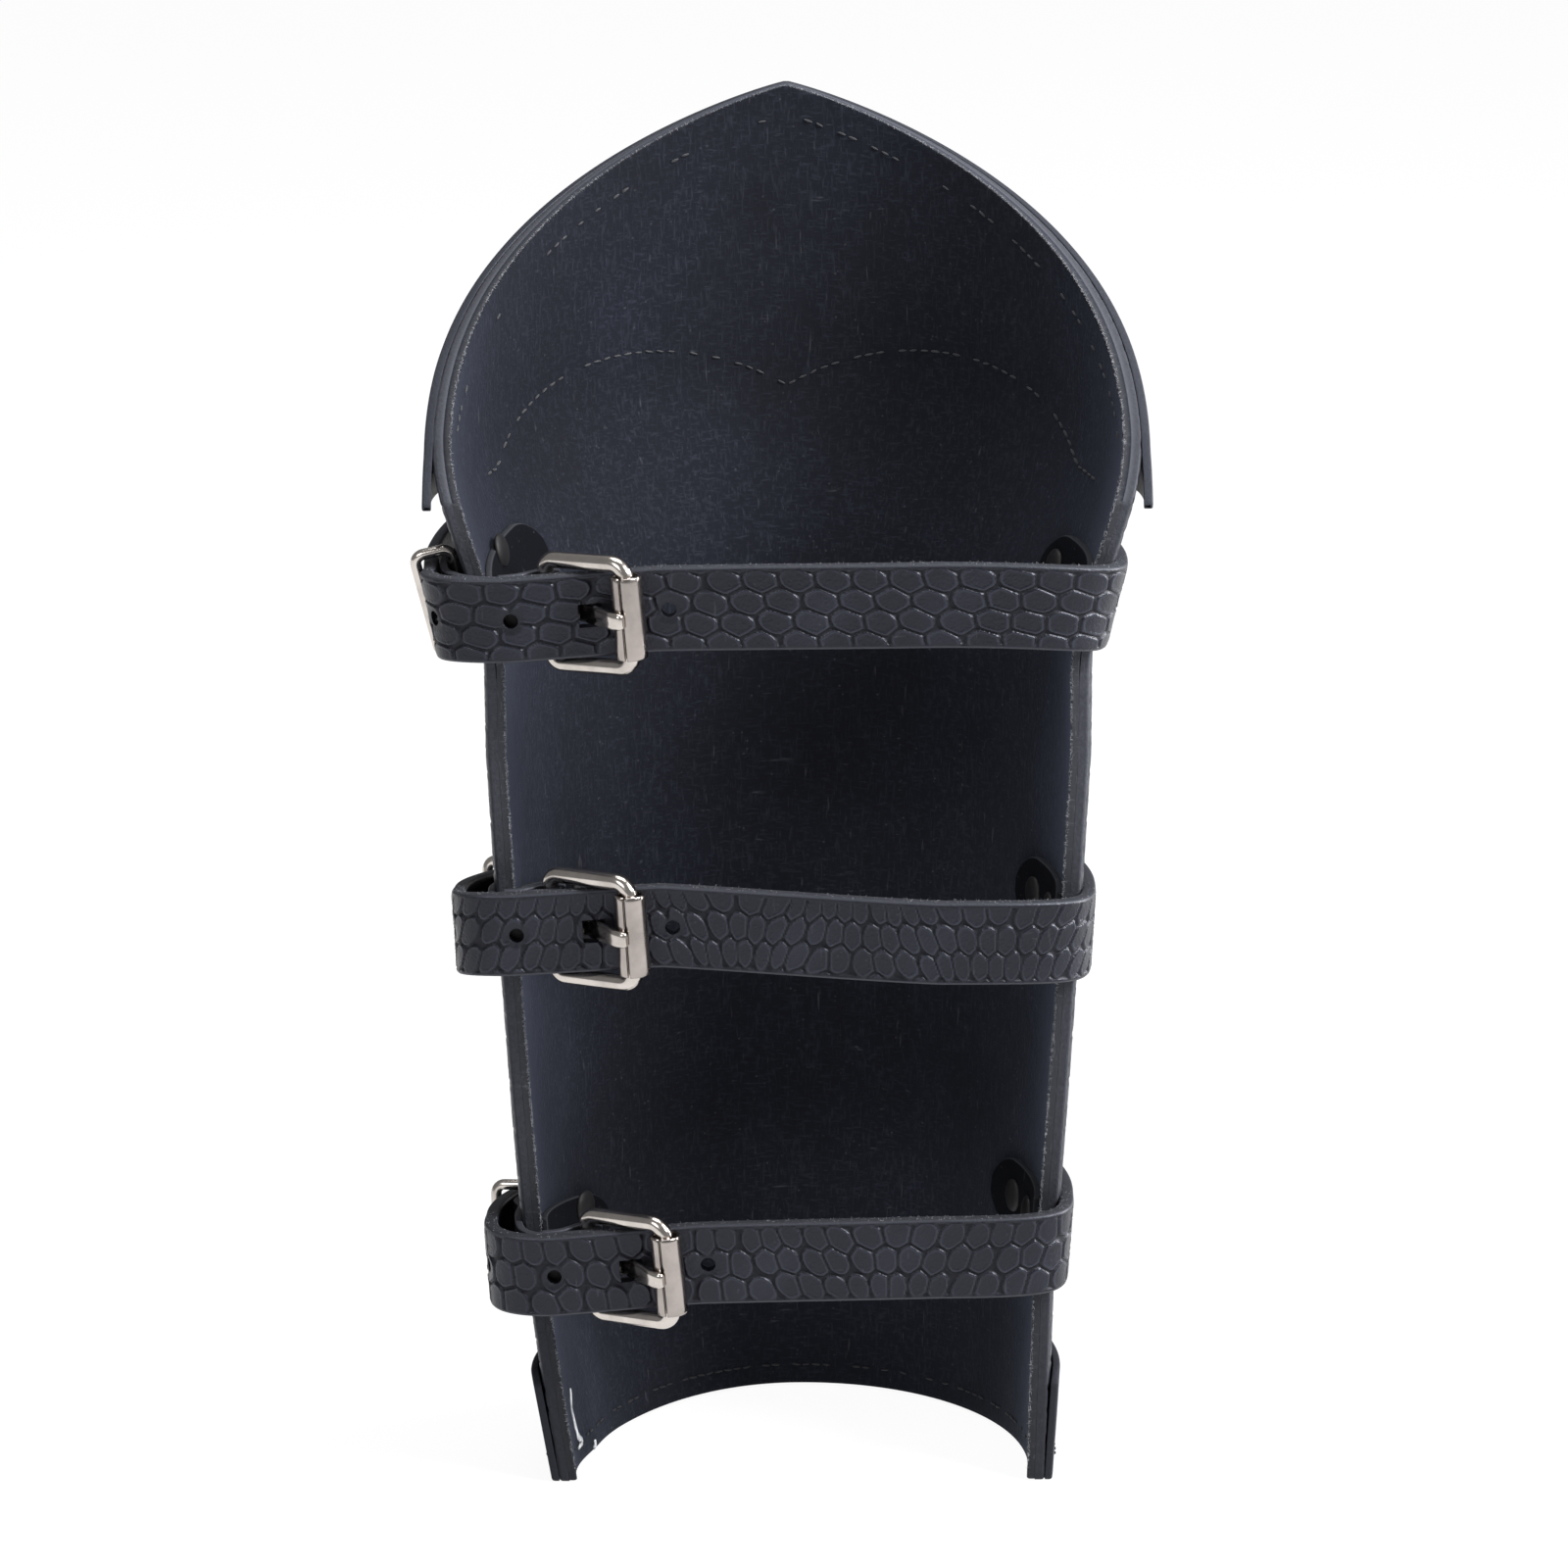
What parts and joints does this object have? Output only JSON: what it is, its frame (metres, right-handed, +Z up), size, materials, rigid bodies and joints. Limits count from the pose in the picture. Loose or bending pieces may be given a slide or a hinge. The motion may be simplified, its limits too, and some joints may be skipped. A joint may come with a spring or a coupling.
{
  "type": "forearm bracer",
  "caption": "Leather forearm bracer: a suede-lined trough with a pointed elbow plate, stitched edges and scale-embossed straps that close in roller buckles with keeper rings.",
  "frame": {"origin": "middle of the wrist opening, on the axis of the trough, level with the wrist edge that the part stands on", "axes": "+Z up along the forearm to the elbow, +Y out through the convex outer face, -Y out of the open side with the straps, +X to the fixed ends of the straps"},
  "size_m": [0.1641, 0.1111, 0.309],
  "materials": {
    "shell_leather": "semi-matt black hide, embossed outside, pale cut edges",
    "plate_leather": "semi-matt black hide",
    "scaled_leather": "satin black hide with a deep scale emboss",
    "strap_leather": "satin black hide",
    "black_suede": "brushed blue-black suede with pale fibres",
    "thread": "waxed thread",
    "nickel": "bright nickel plate",
    "roller_nickel": "bright nickel plate on rolled sheet",
    "dark_rivet": "black lacquer"
  },
  "bodies": {
    "bracer": {"outer_shell": "shell_leather", "suede_lining": "black_suede", "elbow_plate": "plate_leather", "wrist_cuff": "plate_leather", "arch_seam": "thread", "lobed_seam": "thread", "wrist_seam": "thread", "upper_strap": "scaled_leather", "middle_strap": "scaled_leather", "lower_strap": "scaled_leather", "upper_anchor": "strap_leather", "middle_anchor": "strap_leather", "lower_anchor": "strap_leather", "upper_strap_tab": "strap_leather", "middle_strap_tab": "strap_leather", "lower_strap_tab": "strap_leather", "upper_anchor_tab": "strap_leather", "middle_anchor_tab": "strap_leather", "lower_anchor_tab": "strap_leather", "upper_strap_rivets": "dark_rivet", "middle_strap_rivets": "dark_rivet", "lower_strap_rivets": "dark_rivet", "upper_anchor_rivets": "dark_rivet", "middle_anchor_rivets": "dark_rivet", "lower_anchor_rivets": "dark_rivet", "upper_fold_rivet": "dark_rivet", "middle_fold_rivet": "dark_rivet", "lower_fold_rivet": "dark_rivet"},
    "upper_buckle": {"upper_buckle_frame": "nickel"},
    "upper_roller_body": {"upper_roller": "roller_nickel"},
    "upper_prong_body": {"upper_prong": "nickel"},
    "upper_ring_body": {"upper_keeper_ring": "nickel"},
    "middle_buckle": {"middle_buckle_frame": "nickel"},
    "middle_roller_body": {"middle_roller": "roller_nickel"},
    "middle_prong_body": {"middle_prong": "nickel"},
    "middle_ring_body": {"middle_keeper_ring": "nickel"},
    "lower_buckle": {"lower_buckle_frame": "nickel"},
    "lower_roller_body": {"lower_roller": "roller_nickel"},
    "lower_prong_body": {"lower_prong": "nickel"},
    "lower_ring_body": {"lower_keeper_ring": "nickel"}
  },
  "joints": [
    {"name": "upper_frame_swing", "type": "hinge", "parent": "bracer", "child": "upper_buckle", "pos_m": [-0.0524, -0.01387, 0.208], "axis": [0.0785, 0, -0.9969], "range_deg": [0, 6]},
    {"name": "upper_prong_swing", "type": "hinge", "parent": "upper_buckle", "child": "upper_prong_body", "pos_m": [-0.0524, -0.01387, 0.208], "axis": [0.0785, 0, -0.9969], "range_deg": [0, 4]},
    {"name": "upper_roller_turn", "type": "hinge", "parent": "upper_buckle", "child": "upper_roller_body", "pos_m": [-0.03458, -0.0249, 0.2094], "axis": [-0.0785, 0, 0.9969], "continuous": true},
    {"name": "upper_ring_slide", "type": "slide", "parent": "bracer", "child": "upper_ring_body", "axis": [0.0268, -0.9929, -0.1161], "range_m": [-0.0025, 0.001]},
    {"name": "middle_frame_swing", "type": "hinge", "parent": "bracer", "child": "middle_buckle", "pos_m": [-0.0524, -0.01387, 0.1359], "axis": [0.061, 0, -0.9981], "range_deg": [0, 6]},
    {"name": "middle_prong_swing", "type": "hinge", "parent": "middle_buckle", "child": "middle_prong_body", "pos_m": [-0.0524, -0.01387, 0.1359], "axis": [0.061, 0, -0.9981], "range_deg": [0, 4]},
    {"name": "middle_roller_turn", "type": "hinge", "parent": "middle_buckle", "child": "middle_roller_body", "pos_m": [-0.03456, -0.0249, 0.13699], "axis": [-0.061, 0, 0.9981], "continuous": true},
    {"name": "middle_ring_slide", "type": "slide", "parent": "bracer", "child": "middle_ring_body", "axis": [-0.3771, -0.9052, 0.1958], "range_m": [-0.0025, 0.001]},
    {"name": "lower_frame_swing", "type": "hinge", "parent": "bracer", "child": "lower_buckle", "pos_m": [-0.045, -0.01387, 0.0555], "axis": [0.0872, 0, -0.9962], "range_deg": [0, 6]},
    {"name": "lower_prong_swing", "type": "hinge", "parent": "lower_buckle", "child": "lower_prong_body", "pos_m": [-0.045, -0.01387, 0.0555], "axis": [0.0872, 0, -0.9962], "range_deg": [0, 4]},
    {"name": "lower_roller_turn", "type": "hinge", "parent": "lower_buckle", "child": "lower_roller_body", "pos_m": [-0.0272, -0.0249, 0.05706], "axis": [-0.0872, 0, 0.9962], "continuous": true},
    {"name": "lower_ring_slide", "type": "slide", "parent": "bracer", "child": "lower_ring_body", "axis": [-0.2663, -0.9525, 0.148], "range_m": [-0.0025, 0.001]}
  ]
}
